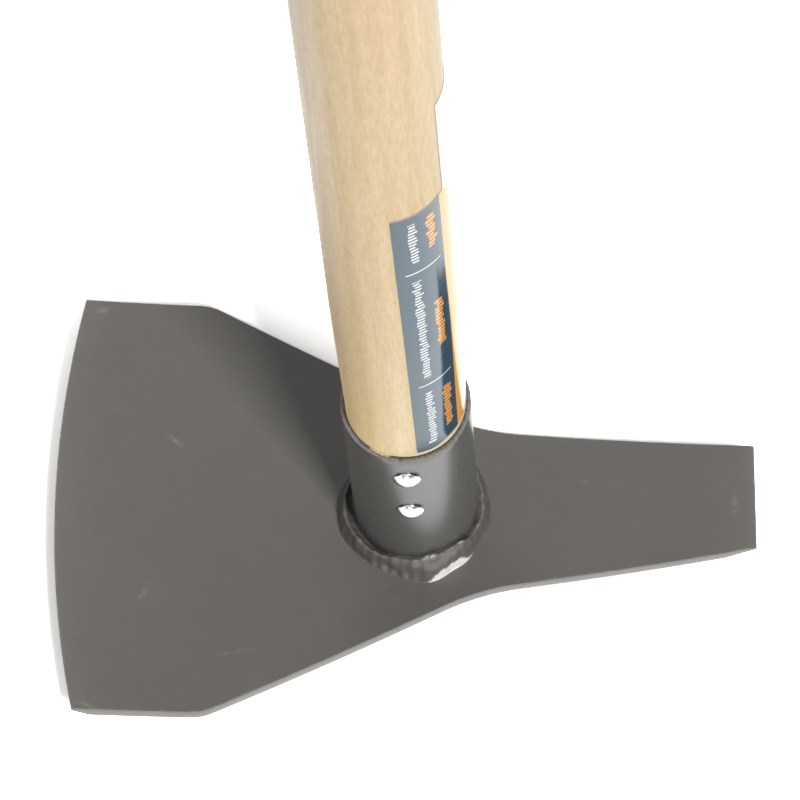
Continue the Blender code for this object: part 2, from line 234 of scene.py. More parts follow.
def rounded_corner(before, corner, after, radius, count=16):
    """Points of the arc that rounds a corner between two straight runs."""
    before, corner, after = (np.array(point) for point in (before, corner, after))
    back = (before - corner) / np.linalg.norm(before - corner)
    ahead = (after - corner) / np.linalg.norm(after - corner)
    half_angle = math.acos(float(back @ ahead)) / 2.0
    centre = corner + (back + ahead) / np.linalg.norm(back + ahead) * radius / math.sin(half_angle)
    start = corner + back * radius / math.tan(half_angle) - centre
    end = corner + ahead * radius / math.tan(half_angle) - centre
    spokes = [start * (1.0 - share) + end * share for share in np.linspace(0.0, 1.0, count)]
    return [centre + spoke * radius / np.linalg.norm(spoke) for spoke in spokes]


def new_piece(name, mesh):
    piece = bpy.data.objects.new(name, mesh)
    bpy.context.scene.collection.objects.link(piece)
    return piece


def mesh_from(name, form):
    mesh = bpy.data.meshes.new(name)
    form.to_mesh(mesh)
    form.free()
    return mesh


def settle(piece, material, sharp_angle=35.0):
    """Make the modifiers' result the piece's own mesh, in its own finish."""
    bpy.context.view_layer.update()
    evaluated = piece.evaluated_get(bpy.context.evaluated_depsgraph_get())
    mesh = bpy.data.meshes.new_from_object(evaluated, preserve_all_data_layers=True,
                                           depsgraph=bpy.context.evaluated_depsgraph_get())
    piece.modifiers.clear()
    piece.data = mesh
    mesh.name = piece.name
    mesh.materials.clear()
    mesh.materials.append(material)
    if sharp_angle:
        mesh.shade_smooth()
        mesh.set_sharp_from_angle(angle=math.radians(sharp_angle))


def new_finish(name):
    """A material with a Principled surface, and the two to wire up."""
    material = bpy.data.materials.new(name)
    material.use_nodes = True
    return material, material.node_tree, material.node_tree.nodes["Principled BSDF"]


def new_group(name, inputs, outputs, tree_kind="ShaderNodeTree"):
    """An empty node group with sockets of the given kinds, and its inner input and output."""
    group = bpy.data.node_groups.new(name, tree_kind)
    for in_out, sockets in (("INPUT", inputs), ("OUTPUT", outputs)):
        for socket, kind in sockets.items():
            group.interface.new_socket(socket, in_out=in_out, socket_type="NodeSocket" + kind)
    return group, group.nodes.new("NodeGroupInput").outputs, group.nodes.new("NodeGroupOutput")


def put_mix(tree, factor, first, second, blend="MIX"):
    """A mix of two colours, each a value or a socket."""
    node = tree.nodes.new("ShaderNodeMix")
    node.data_type = "RGBA"
    node.blend_type = blend
    for socket, value in ((node.inputs[0], factor), (node.inputs[6], first),
                          (node.inputs[7], second)):
        if isinstance(value, bpy.types.NodeSocket):
            tree.links.new(value, socket)
        else:
            socket.default_value = value
    return node.outputs[2]


def own_place(tree):
    """Where a point is on the piece itself, in metres."""
    return put_node(tree, "ShaderNodeTexCoord").outputs["Object"]


def painted(tree, layer):
    """A value that the mesh carries at its vertices."""
    return put_node(tree, "ShaderNodeAttribute", attribute_name=layer).outputs["Fac"]


def put_scale(tree, vector, factor):
    """A colour or vector times a factor."""
    return put_node(tree, "ShaderNodeVectorMath", {0: vector, "Scale": factor},
                    operation="SCALE").outputs[0]


def put_noise(tree, vector, scale, detail=2.0, roughness=0.5):
    """Noise from 0 to 1, with its scale in waves a metre."""
    return put_node(tree, "ShaderNodeTexNoise", {
        "Vector": vector, "Scale": scale, "Detail": detail, "Roughness": roughness}
    ).outputs["Fac"]


def put_swing(tree, noise, amount):
    """Noise that swings by half the amount to either side of 0."""
    return put_math(tree, "MULTIPLY", put_math(tree, "SUBTRACT", noise, 0.5), amount)


# Sprayed paint: uneven colour and sheen a few centimetres across, fine peel, and dust in it
paint_group, given, result = new_group(
    "sprayed_paint", {"Color": "Color", "Mottle": "Float", "Roughness": "Float", "Dust": "Float"},
    {"Color": "Color", "Roughness": "Float", "Height": "Float"})
tree = paint_group
place = own_place(tree)
broad = put_noise(tree, place, 22.0, 5.0, 0.6)
fine = put_noise(tree, place, 260.0, 3.0, 0.6)
peel = put_noise(tree, place, 900.0, 2.0)
uneven = put_math(tree, "ADD", put_swing(tree, broad, 1.0), put_swing(tree, fine, 0.6))
shade = put_math(tree, "ADD", put_math(tree, "MULTIPLY", uneven, given["Mottle"]), 1.0)
shaded = put_scale(tree, given["Color"], shade)
specks = put_math(tree, "MULTIPLY", put_step(tree, peel, 0.68, 0.78), given["Dust"])
tree.links.new(put_mix(tree, specks, shaded, DUST), result.inputs["Color"])
sheen = put_swing(tree, fine, given["Mottle"])
tree.links.new(put_math(tree, "ADD", sheen, given["Roughness"]), result.inputs["Roughness"])
tree.links.new(put_math(tree, "ADD", put_math(tree, "MULTIPLY", fine, 0.5), peel),
               result.inputs["Height"])

# Worn edge: where paint has rubbed or chipped off a corner, broken up by noise
wear_group, given, result = new_group(
    "worn_edge", {"Edge": "Float", "Grain": "Float", "Amount": "Float"}, {"Mask": "Float"})
tree = wear_group
place = own_place(tree)
chips = put_noise(tree, place, given["Grain"], 4.0, 0.65)
reach = put_math(tree, "ADD", given["Edge"], put_swing(tree, chips, 1.2))
tree.links.new(put_math(tree, "MULTIPLY", put_step(tree, reach, 0.62, 0.92), given["Amount"]),
               result.inputs["Mask"])


def sprayed(tree, color, mottle, roughness, dust=0.0):
    """Sprayed paint in a colour: its outputs."""
    return put_node(tree, "ShaderNodeGroup", {
        "Color": color, "Mottle": mottle, "Roughness": roughness, "Dust": dust},
        node_tree=paint_group).outputs


def worn(tree, grain, amount):
    """1 where the paint has gone from an edge; grain is in chips a metre."""
    edge = painted(tree, "edge")
    return put_node(tree, "ShaderNodeGroup", {"Edge": edge, "Grain": grain, "Amount": amount},
                    node_tree=wear_group).outputs["Mask"]


def wire_surface(tree, surface, color, roughness, height=None, depth=0.0):
    """Give a surface its colour and roughness, and a fine relief of some depth."""
    tree.links.new(color, surface.inputs["Base Color"])
    tree.links.new(roughness, surface.inputs["Roughness"])
    if height is not None:
        relief = put_node(tree, "ShaderNodeBump", {"Height": height, "Distance": depth})
        tree.links.new(relief.outputs["Normal"], surface.inputs["Normal"])


corner = (edge_bow(HOE_HALF_WIDTH) - HOE_REACH, HOE_HALF_WIDTH)
shoulder = (SHOULDER_X, SHOULDER_HALF_WIDTH)
neck = (NECK_X, NECK_HALF_WIDTH)
tip = (PICK_REACH, PICK_HALF_WIDTH)
side = np.array([corner] + rounded_corner(corner, shoulder, neck, SHOULDER_RADIUS)
                + rounded_corner(shoulder, neck, tip, NECK_RADIUS) + [tip])
straight_x = side[1, 0]
row_x = np.concatenate([
    np.linspace(-HOE_REACH, HOE_BEVEL - HOE_REACH, HOE_BEVEL_ROWS)[:-1],
    np.linspace(HOE_BEVEL - HOE_REACH, PICK_REACH - PICK_BEVEL, PLATE_ROWS)[:-1],
    np.linspace(PICK_REACH - PICK_BEVEL, PICK_REACH, PICK_BEVEL_ROWS)])
across = np.sin(np.linspace(-math.pi / 2, math.pi / 2, PLATE_COLUMNS)) * COLUMN_CROWDING
across += np.linspace(-1.0, 1.0, PLATE_COLUMNS) * (1.0 - COLUMN_CROWDING)

form = bmesh.new()
edge_layer = form.verts.layers.float.new("edge")
edge_highlight_layer = form.verts.layers.float.new("edge_highlight")
weights = form.verts.layers.deform.verify()
rows = []
for x0 in row_x:
    bow = np.clip((straight_x - x0) / (straight_x - (HOE_BEVEL - HOE_REACH)), 0.0, 1.0)
    half_width = np.interp(x0 + bow * edge_bow(HOE_HALF_WIDTH), side[:, 0], side[:, 1])
    ends = min(x0 + HOE_REACH, PICK_REACH - x0)
    roll = max(0.0, 1.0 - (PICK_REACH - x0) / ROLL_LENGTH) ** 2 * ROLL_DROP
    thick = min((x0 + HOE_REACH) / HOE_BEVEL, (PICK_REACH - x0) / PICK_BEVEL, 1.0)
    ring = []
    for share in across:
        y = half_width * share
        x = x0 + bow * edge_bow(y)
        vertex = form.verts.new((x, y, dish_top(math.hypot(x, y)) - roll))
        vertex[edge_layer] = math.exp(-min(half_width - abs(y), ends) / EDGE_FADE)
        vertex[edge_highlight_layer] = math.exp(-ends / EDGE_HIGHLIGHT_WIDTH)
        vertex[weights][0] = thick
        ring.append(vertex)
    rows.append(ring)
for ring, following in zip(rows, rows[1:]):
    for k in range(PLATE_COLUMNS - 1):
        form.faces.new((ring[k], following[k], following[k + 1], ring[k + 1]))
head = new_piece("head", mesh_from("head", form))
head.vertex_groups.new(name="full_thickness")
wall = head.modifiers.new("thickness", "SOLIDIFY")
wall.thickness = PLATE_THICKNESS
wall.offset = -1.0
wall.vertex_group = "full_thickness"
wall.thickness_vertex_group = EDGE_THICKNESS / PLATE_THICKNESS
rounding = head.modifiers.new("rounding", "BEVEL")
rounding.width = EDGE_ROUNDING
rounding.segments = 3
rounding.limit_method = "ANGLE"
rounding.angle_limit = math.radians(50.0)

head_paint, tree, surface = new_finish("head_paint")
# painted highlight: the plate's paint is paler towards the hoe's edge and the pick's tip
edge_highlight = painted(tree, "edge_highlight")
highlighted = put_math(tree, "ADD", put_math(tree, "MULTIPLY", edge_highlight, EDGE_HIGHLIGHT), 1.0)
paint = sprayed(tree, put_scale(tree, HEAD_PAINT[:3], highlighted), mottle=0.22,
                roughness=HEAD_ROUGHNESS, dust=0.08)
place = own_place(tree)
broken = put_step(tree, put_noise(tree, place, 420.0, 3.0, 0.7), 0.38, 0.62)


def put_spot(tree, x, y, length, width, turn):
    """1 at a point of the plate's face, fading to 0 at the rim of an ellipse round it."""
    spot = put_node(tree, "ShaderNodeMapping", {
        "Vector": place, "Location": (x * mm, y * mm, dish_top(math.hypot(x, y) * mm)),
        "Rotation": (0.0, 0.0, math.radians(turn)),
        "Scale": (length * mm, width * mm, SPOT_REACH)}, vector_type="TEXTURE")
    return put_node(tree, "ShaderNodeTexGradient", {"Vector": spot.outputs[0]},
                    gradient_type="SPHERICAL").outputs["Fac"]


marks = 0.0
for *where, strength in SCUFFS:
    mark = put_math(tree, "MULTIPLY", put_spot(tree, *where), strength)
    marks = put_math(tree, "MAXIMUM", marks, mark)
rubbed = put_math(tree, "MULTIPLY", marks, broken)
# the plate's paint is darker in a patch in front of the weld
patch_darkening = put_math(tree, "MULTIPLY", put_spot(tree, *WELD_FRONT_PATCH), WELD_FRONT_DARKENING)
patch_darkened = put_mix(tree, patch_darkening, paint["Color"], PATCH_BLACK)
scuffed = put_mix(tree, rubbed, patch_darkened, HEAD_SCUFFED)
chipped = put_mix(tree, worn(tree, grain=240.0, amount=0.35), scuffed, HEAD_WORN)
roughness = put_math(tree, "ADD", paint["Roughness"],
                     put_math(tree, "MULTIPLY", rubbed, SCUFF_ROUGHNESS))
wire_surface(tree, surface, chipped, roughness, paint["Height"], 0.02 * mm)

settle(head, head_paint)
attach(head, "root")
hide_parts("head_plate")


# Socket tube: 42.4 x 2 mm drawn tube, sawn off and left with a slightly uneven, rounded rim. Its
# paint is smoother and darker than the plate's and has rubbed off the rim.
TUBE_RADIUS, TUBE_WALL, TUBE_HEIGHT = 21.2 * mm, 2.0 * mm, 92.0 * mm
BORE_RADIUS = TUBE_RADIUS - TUBE_WALL
RIM_Z = PLATE_TOP + TUBE_HEIGHT
RIM_ROUNDING = 0.35 * mm
RIM_WAVE, RIM_WAVE_FADE = 0.18 * mm, 2.0 * mm
NICK_FADE = 0.6 * mm
RIM_BAND = 4.0 * mm                   # the wall's rows start this far below the rim
FOOT_GAP = 0.3 * mm                   # between the tube's foot and the plate
OUTER_ROWS, INNER_ROWS = 24, 12
RIM_WEAR_FADE, INNER_WEAR = 0.5 * mm, 0.45     # the rim's inner corner is less worn
# each nick's place in degrees, and its width and depth in mm
NICKS = ((-95.0, 0.45, 0.40), (-103.0, 0.3, 0.15), (-72.0, 0.5, 0.2), (-64.0, 0.3, 0.25),
         (-40.0, 0.4, 0.2), (20.0, 0.5, 0.3), (118.0, 0.6, 0.3), (170.0, 0.4, 0.2))
TUBE_STEPS = 512
TUBE_PAINT = (0.092, 0.088, 0.081, 1.0)
TUBE_WORN = (0.33, 0.31, 0.29, 1.0)
TUBE_SHADE_COLOR = (0.012, 0.010, 0.009, 1.0)
TUBE_SHADE_LOW, TUBE_SHADE_TOP, TUBE_SHADE_DEPTH = 7.0 * mm, 17.0 * mm, 0.5    # painted shade: the tube darker just above the weld, for the shade and the weld's dark reflection there


def turned_form(profile, steps):
    """A bmesh turned round Z from (radius, height) points that run down the outer side."""
    form = bmesh.new()
    line = [form.verts.new((radius, 0.0, height)) for radius, height in profile]
    edges = [form.edges.new(pair) for pair in zip(line, line[1:])]
    bmesh.ops.spin(form, geom=line + edges, cent=(0.0, 0.0, 0.0), axis=(0.0, 0.0, 1.0),
                   angle=2.0 * math.pi, steps=steps, use_merge=True)
    bmesh.ops.remove_doubles(form, verts=form.verts, dist=0.000001)
    bmesh.ops.recalc_face_normals(form, faces=form.faces)
    return form


def quarter(centre, radius, start, count=5):
    """Points of a quarter circle in a profile, from a start angle, turning clockwise."""
    return [(centre[0] + radius * math.cos(math.radians(angle)),
             centre[1] + radius * math.sin(math.radians(angle)))
            for angle in np.linspace(start, start - 90.0, count)]


foot_z = PLATE_TOP + FOOT_GAP
outer_wall = [(TUBE_RADIUS, z) for z in np.linspace(RIM_Z - RIM_BAND, foot_z, OUTER_ROWS)]
inner_wall = [(BORE_RADIUS, z) for z in np.linspace(foot_z, RIM_Z - RIM_BAND, INNER_ROWS)]
rim_z = RIM_Z - RIM_ROUNDING
profile = (quarter((BORE_RADIUS + RIM_ROUNDING, rim_z), RIM_ROUNDING, 180.0)
           + quarter((TUBE_RADIUS - RIM_ROUNDING, rim_z), RIM_ROUNDING, 90.0)
           + outer_wall + inner_wall)
form = turned_form(profile + profile[:1], TUBE_STEPS)
edge_layer = form.verts.layers.float.new("edge")
for vertex in form.verts:
    radius = math.hypot(vertex.co.x, vertex.co.y)
    angle = math.atan2(vertex.co.y, vertex.co.x)
    below = RIM_Z - vertex.co.z
    outside = radius > (BORE_RADIUS + TUBE_RADIUS) / 2.0
    vertex[edge_layer] = math.exp(-below / RIM_WEAR_FADE) * (1.0 if outside else INNER_WEAR)
    uneven = (math.sin(2.0 * angle + 0.4) + 0.5 * math.sin(5.0 * angle + 1.3)
              + 0.35 * math.sin(17.0 * angle) * math.sin(3.0 * angle + 0.7)
              + 0.25 * math.sin(41.0 * angle + 2.0) * math.sin(7.0 * angle))
    vertex.co.z += (uneven - 1.0) * RIM_WAVE * math.exp(-below / RIM_WAVE_FADE)
    for turn, width, depth in NICKS:
        off = math.remainder(angle - math.radians(turn), 2.0 * math.pi) * TUBE_RADIUS
        vertex.co.z -= depth * mm * math.exp(-(off / (width * mm)) ** 2 - below / NICK_FADE)
socket = new_piece("socket", mesh_from("socket", form))

tube_paint, tree, surface = new_finish("tube_paint")
paint = sprayed(tree, TUBE_PAINT, mottle=0.06, roughness=0.26)
height = put_node(tree, "ShaderNodeSeparateXYZ", {0: own_place(tree)}).outputs["Z"]
# painted shade, darkest low on the tube just above the weld
tube_shade = put_step(tree, height, PLATE_TOP + TUBE_SHADE_LOW, PLATE_TOP + TUBE_SHADE_TOP, TUBE_SHADE_DEPTH, 0.0)
tube_shaded = put_mix(tree, tube_shade, paint["Color"], TUBE_SHADE_COLOR)
chipped = put_mix(tree, worn(tree, grain=900.0, amount=0.5), tube_shaded, TUBE_WORN)
wire_surface(tree, surface, chipped, paint["Roughness"])

settle(socket, tube_paint)
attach(socket, "root")
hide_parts("socket_tube")


# Weld: one rope-like fillet laid by hand round the tube's foot, in overlapping puddles, and
# painted over. Painted highlights stand in for the softbox shining in its gloss: a white streak
# along its foot in front on the right, light spots along the foot further left and two glints up
# top.
BEAD_FOOT, BEAD_LEG = 5.0 * mm, 8.0 * mm       # out over the plate, and up the tube
FRONT_LEG, FRONT_RISE = 12.4 * mm, 2.4 * mm    # the leg in front, and more where it is highest
FOOT_PINCH = 2.8 * mm                 # how much narrower the foot is in front on the right
BEAD_SINK = 0.12 * mm                 # how far its root goes into plate and tube
# Its outline in front and elsewhere, from foot to top: out and up, as shares of foot and leg
FRONT_SECTION = ((1.08, 0.0), (1.0, 0.02), (0.96, 0.10), (0.91, 0.22), (0.85, 0.38), (0.78, 0.54),
                 (0.71, 0.69), (0.62, 0.80), (0.52, 0.87), (0.42, 0.90), (0.32, 0.90),
                 (0.21, 0.88), (0.10, 0.86), (0.0, 0.85))
ROUND_SECTION = ((1.10, 0.0), (1.02, 0.03), (0.97, 0.12), (0.93, 0.26), (0.88, 0.44), (0.81, 0.63),
                 (0.72, 0.80), (0.62, 0.91), (0.51, 0.94), (0.41, 0.90), (0.31, 0.81),
                 (0.21, 0.73), (0.10, 0.68), (0.0, 0.66))
BEAD_STEPS, RIPPLES = 480, 40
RIPPLE_LAG = 1.3                      # radians of a ripple that its crown trails its edges by
# Places round the bead, each as its two ends in degrees and the fade at each end
FRONT, FRONT_OUTLINE, HIGHEST = (-140.0, -28.0, 34.0), (-140.0, 75.0, 34.0), (-88.0, -38.0, 12.0)
PINCHED, TOE_GLINTS, STREAK = (-84.0, -4.0, 26.0), (-138.0, -84.0, 14.0), (-88.0, -35.0, 20.0)
GLINTS = ((-88.0, -70.0, 7.0), (-52.0, -42.0, 5.0))
# Places up its outline, the same way, from 0 at the foot to 1 at the top
LOW_FACE, BROW = (0.03, 0.36, 0.15), (0.62, 0.90, 0.12)
STREAK_LOW, STREAK_RISE = 0.10, 0.23  # it reaches this far up at its ends, and so much more midway
# painted highlights: how white the paint is made at the toe's spots, along the streak and at the
# glints
TOE_GLINT_STRENGTH, STREAK_STRENGTH, GLINT_STRENGTH = 0.18, 1.6, 0.4
WELD_PAINT = (0.125, 0.115, 0.104, 1.0)
HIGHLIGHT_WHITE = (0.95, 0.95, 0.94, 1.0)


def new_geometry_tree(name, sizes):
    """An empty Geometry Nodes tree with a socket for each size, and its input and output."""
    return new_group(name, {"Geometry": "Geometry", **sizes}, {"Geometry": "Geometry"},
                     "GeometryNodeTree")


def run_tree(piece, tree, sizes):
    """Put the tree on the piece as a modifier, with its sizes set by their identifiers."""
    modifier = piece.modifiers.new(tree.name, "NODES")
    modifier.node_group = tree
    for item in tree.interface.items_tree:
        if item.in_out == "INPUT" and item.name in sizes:
            modifier[item.identifier] = sizes[item.name]


def finish_tree(tree, geometry, material, result):
    """Close a tree: instances made real, in one material."""
    real = put_node(tree, "GeometryNodeRealizeInstances", {"Geometry": geometry})
    put = put_node(tree, "GeometryNodeSetMaterial", {
        "Geometry": real.outputs[0], "Material": material})
    tree.links.new(put.outputs[0], result.inputs[0])


def window(value, low, high, soft):
    """1 inside a range, with smooth ends."""
    inside = np.clip([(value - low) / soft, (high - value) / soft], 0.0, 1.0)
    return float(np.prod(inside * inside * (3.0 - 2.0 * inside)))


def cut_corners(points):
    """A line with its corners cut once, and its ends kept."""
    points = [np.array(point) for point in points]
    cut = [points[0]]
    for start, end in zip(points, points[1:]):
        cut += [start * 0.75 + end * 0.25, start * 0.25 + end * 0.75]
    return cut + [points[-1]]


front_section = cut_corners(cut_corners(FRONT_SECTION))
round_section = cut_corners(cut_corners(ROUND_SECTION))
form = bmesh.new()
crown_layer = form.verts.layers.float.new("crown")
painted_gloss_layer = form.verts.layers.float.new("painted_gloss")
rings = []
for angle in np.linspace(-1.5 * math.pi, 0.5 * math.pi, BEAD_STEPS, endpoint=False):
    turn = math.degrees(angle)
    hand_sway = (1.2 * math.cos(3.0 * angle) + 0.37 * math.sin(3.0 * angle)
                 + 0.48 * math.sin(2.0 * angle)) * mm
    foot = BEAD_FOOT - hand_sway - FOOT_PINCH * window(turn, *PINCHED)
    front = window(turn, *FRONT)
    leg = (BEAD_LEG * (1.0 - front) + FRONT_LEG * front + FRONT_RISE * window(turn, *HIGHEST)
           + (0.5 * math.sin(7.0 * angle) + 0.4 * math.sin(4.0 * angle)) * mm)
    root = TUBE_RADIUS - BEAD_SINK
    base = dish_top(TUBE_RADIUS + foot) - BEAD_SINK
    outline = [(root, base - BEAD_SINK, 0.0)]
    full = window(turn, *FRONT_OUTLINE)
    section = [round_point * (1.0 - full) + front_point * full
               for round_point, front_point in zip(round_section, front_section)]
    for k, (across, up) in enumerate(section):
        outline.append((root + (foot + BEAD_SINK) * across, base + leg * up,
                        k / (len(section) - 1)))
    # painted highlights where the softbox would shine in the bead's gloss
    ripple_tops = (0.5 + 0.5 * math.cos(RIPPLES * angle)) * window(turn, *TOE_GLINTS)
    taper = window(turn, *STREAK)
    glinting = sum(window(turn, *glint) for glint in GLINTS)
    ring = []
    for radius, z, share in outline:
        vertex = form.verts.new((radius * math.cos(angle), radius * math.sin(angle), z))
        vertex[crown_layer] = window(share, 0.0, 1.0, 0.3)
        streak = taper * window(share, -0.05, STREAK_LOW + STREAK_RISE * taper, 0.08)
        vertex[painted_gloss_layer] = max(TOE_GLINT_STRENGTH * ripple_tops * window(share, *LOW_FACE),
                                 GLINT_STRENGTH * glinting * window(share, *BROW),
                                 min(1.0, STREAK_STRENGTH * streak))
        ring.append(vertex)
    rings.append(ring)
for ring, following in zip(rings, rings[1:] + rings[:1]):
    for k in range(len(ring)):
        after = (k + 1) % len(ring)
        form.faces.new((ring[k], following[k], following[after], ring[after]))
weld = new_piece("weld", mesh_from("weld", form))

weld_paint, tree, surface = new_finish("weld_paint")
paint = sprayed(tree, WELD_PAINT, mottle=0.25, roughness=0.38)
place = own_place(tree)
# painted highlight: white mixed into the weld's paint where the mesh says, frayed at the edges
painted_gloss = painted(tree, "painted_gloss")
partly = put_math(tree, "MULTIPLY", put_math(tree, "POWER", painted_gloss, 2.0),
                  put_math(tree, "SUBTRACT", 1.0, painted_gloss))
frayed = put_step(tree, put_noise(tree, place, 800.0), 0.35, 0.65, -3.0, 3.0)
painted_gloss = put_math(tree, "ADD", painted_gloss, put_math(tree, "MULTIPLY", partly, frayed), clamp=True)
wire_surface(tree, surface, put_mix(tree, painted_gloss, paint["Color"], HIGHLIGHT_WHITE),
             paint["Roughness"], paint["Height"], 0.006 * mm)

puddles, given, result = new_geometry_tree("weld_puddles", {
    "Ripples": "Float", "Ripple Height": "Float", "Lump Size": "Float", "Lump Height": "Float"})
place = put_node(puddles, "GeometryNodeInputPosition").outputs[0]
split = put_node(puddles, "ShaderNodeSeparateXYZ", {0: place}).outputs
around = put_math(puddles, "ARCTAN2", split["Y"], split["X"])
crown = put_node(puddles, "GeometryNodeInputNamedAttribute", {"Name": "crown"},
                 data_type="FLOAT").outputs[0]
phase = put_math(puddles, "ADD", put_math(puddles, "MULTIPLY", around, given["Ripples"]),
                 put_math(puddles, "MULTIPLY", crown, RIPPLE_LAG))
ripple = put_math(puddles, "MULTIPLY", put_math(puddles, "COSINE", phase), given["Ripple Height"])
lumps = put_noise(puddles, place, put_math(puddles, "DIVIDE", 1.0, given["Lump Size"]), 0.0)
lump = put_swing(puddles, lumps, given["Lump Height"])
rise = put_math(puddles, "MULTIPLY", put_math(puddles, "ADD", ripple, lump), crown)
outward = put_node(puddles, "GeometryNodeInputNormal").outputs[0]
moved = put_node(puddles, "GeometryNodeSetPosition", {
    "Geometry": given["Geometry"], "Offset": put_scale(puddles, outward, rise)})
finish_tree(puddles, moved.outputs[0], weld_paint, result)
run_tree(weld, puddles, {"Ripples": float(RIPPLES), "Ripple Height": 0.12 * mm,
                         "Lump Size": 6.0 * mm, "Lump Height": 1.9 * mm})
settle(weld, weld_paint, sharp_angle=60.0)
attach(weld, "root")
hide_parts("weld_bead")


# Handle: turned ash, of full thickness low down, slimming to the grip, with a rounded end. It was
# driven into the socket, whose rim crushed and shaved it a little. Clear lacquer. Near the mouth
# its colour carries painted light: paler on the shaded hoe side, tinted cooler on the lit pick
# side.
HANDLE_RADIUS, GRIP_RADIUS, GRIP_ROUNDING = 20.4 * mm, 17.5 * mm, 10.0 * mm
HANDLE_STRAIGHT = 420.0 * mm
MOUTH_RADIUS, MOUTH_HEIGHT, SWELL_LENGTH = 19.5 * mm, 4.0 * mm, 80.0 * mm
LIP = ((0.0, 1.6), (0.1, 0.7), (0.05, 0.25))   # wood pushed out over the rim: out and up in mm
TENON_PLAY, TENON_CHAMFER = 0.12 * mm, 1.5 * mm
SHAFT_ROWS, SWELL_ROWS, HANDLE_STEPS = 60, 20, 144
WOOD_LIGHT = (0.575, 0.425, 0.215, 1.0)
WOOD_DARK = (0.525, 0.375, 0.18, 1.0)
WOOD_PORE = (0.34, 0.22, 0.10, 1.0)
# crushed wood at the rim, its colour also made paler as painted light over the shade where wood
# meets rim
CRUSHED_AND_LIT_WOOD = (0.80, 0.70, 0.47, 1.0)
FLECK_TINT = (0.90, 0.885, 0.86, 1.0)
# painted light: a paler, cooler tint for the lit side near the mouth
LIT_SIDE_TINT = (0.90, 1.02, 1.28, 1.0)
MOUTH_LIGHT_STRENGTH, MOUTH_FADE = 0.75, 75.0 * mm   # painted light: the wood made paler near the mouth, where the plate shades it
# painted light near the mouth, at the middle and how it changes towards the pick: paler where
# shaded, tinted where lit
MOUTH_LIGHT, MOUTH_LIGHT_CHANGE, LIT_SIDE, LIT_SIDE_CHANGE = 0.6, -0.8, 0.6, 0.6
CRUSHED_AND_LIT_HEIGHT = 2.0 * mm
handle_low, handle_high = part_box("handle")


def handle_radius(height):
    """Radius of the wood at a height above the rim."""
    straight = np.interp(height, (MOUTH_HEIGHT, SWELL_LENGTH), (MOUTH_RADIUS, HANDLE_RADIUS))
    slim_length = handle_high.z - GRIP_ROUNDING - RIM_Z - HANDLE_STRAIGHT
    slim = np.clip((height - HANDLE_STRAIGHT) / slim_length, 0.0, 1.0)
    return straight - (HANDLE_RADIUS - GRIP_RADIUS) * (1.0 - math.cos(math.pi / 2.0 * slim))


grip_end = [(0.0, handle_high.z)] + [
    (GRIP_RADIUS - GRIP_ROUNDING + x, handle_high.z - GRIP_ROUNDING + z)
    for x, z in quarter((0.0, 0.0), GRIP_ROUNDING, 90.0, 12)]
shaft = [(handle_radius(height), RIM_Z + height) for height in np.concatenate([
    np.linspace(handle_high.z - GRIP_ROUNDING - RIM_Z, SWELL_LENGTH, SHAFT_ROWS)[1:],
    np.linspace(SWELL_LENGTH, MOUTH_HEIGHT, SWELL_ROWS)[1:]])]
lip = [(MOUTH_RADIUS + out * mm, RIM_Z + up * mm) for out, up in LIP]
tenon_radius = BORE_RADIUS - TENON_PLAY
tenon = [(tenon_radius, RIM_Z - 0.1 * mm), (tenon_radius, RIM_Z - 1.0 * mm),
         (tenon_radius, handle_low.z + TENON_CHAMFER),
         (tenon_radius - TENON_CHAMFER, handle_low.z), (0.0, handle_low.z)]
form = turned_form(grip_end + shaft + lip + tenon, HANDLE_STEPS)
mouth_layer = form.verts.layers.float.new("mouth")
lit_side_layer = form.verts.layers.float.new("lit_side_tint")
# painted light near the mouth: paler on the shaded hoe side, tinted on the lit pick side
for vertex in form.verts:
    near = math.exp(-max(0.0, vertex.co.z - RIM_Z) / MOUTH_FADE)
    across = vertex.co.x / HANDLE_RADIUS
    vertex[mouth_layer] = near * max(0.0, MOUTH_LIGHT + MOUTH_LIGHT_CHANGE * across)
    vertex[lit_side_layer] = near * (LIT_SIDE + LIT_SIDE_CHANGE * across)
handle = new_piece("ash_handle", mesh_from("ash_handle", form))

wood_group, given, result = new_group(
    "ash_wood", {"Light": "Color", "Dark": "Color"},
    {"Color": "Color", "Height": "Float", "Roughness": "Float"})
tree = wood_group
place = own_place(tree)


def stretched(tree, scale, vector):
    return put_node(tree, "ShaderNodeMapping", {"Vector": vector, "Scale": scale}).outputs[0]


bands = put_node(tree, "ShaderNodeTexWave", {
    "Vector": stretched(tree, (1.0, 0.35, 0.035), place), "Scale": 42.0, "Distortion": 5.0,
    "Detail": 3.0, "Detail Scale": 1.2}, bands_direction="X").outputs["Fac"]
streaks = put_noise(tree, stretched(tree, (1.0, 1.0, 0.05), place), 420.0, 4.0, 0.65)
pores = put_noise(tree, stretched(tree, (1.0, 1.0, 0.09), place), 1500.0, 2.0, 0.6)
cloud = put_noise(tree, stretched(tree, (1.0, 1.0, 0.3), place), 30.0, 2.0)
grain = put_math(tree, "MULTIPLY", bands, 0.25)
for part, share in ((streaks, 0.55), (cloud, 0.35)):
    grain = put_math(tree, "ADD", grain, put_math(tree, "MULTIPLY", part, share))
plain = put_mix(tree, put_step(tree, grain, 0.38, 0.85), given["Light"], given["Dark"])
pore_mask = put_math(tree, "MULTIPLY", put_step(tree, pores, 0.56, 0.72), 0.18)
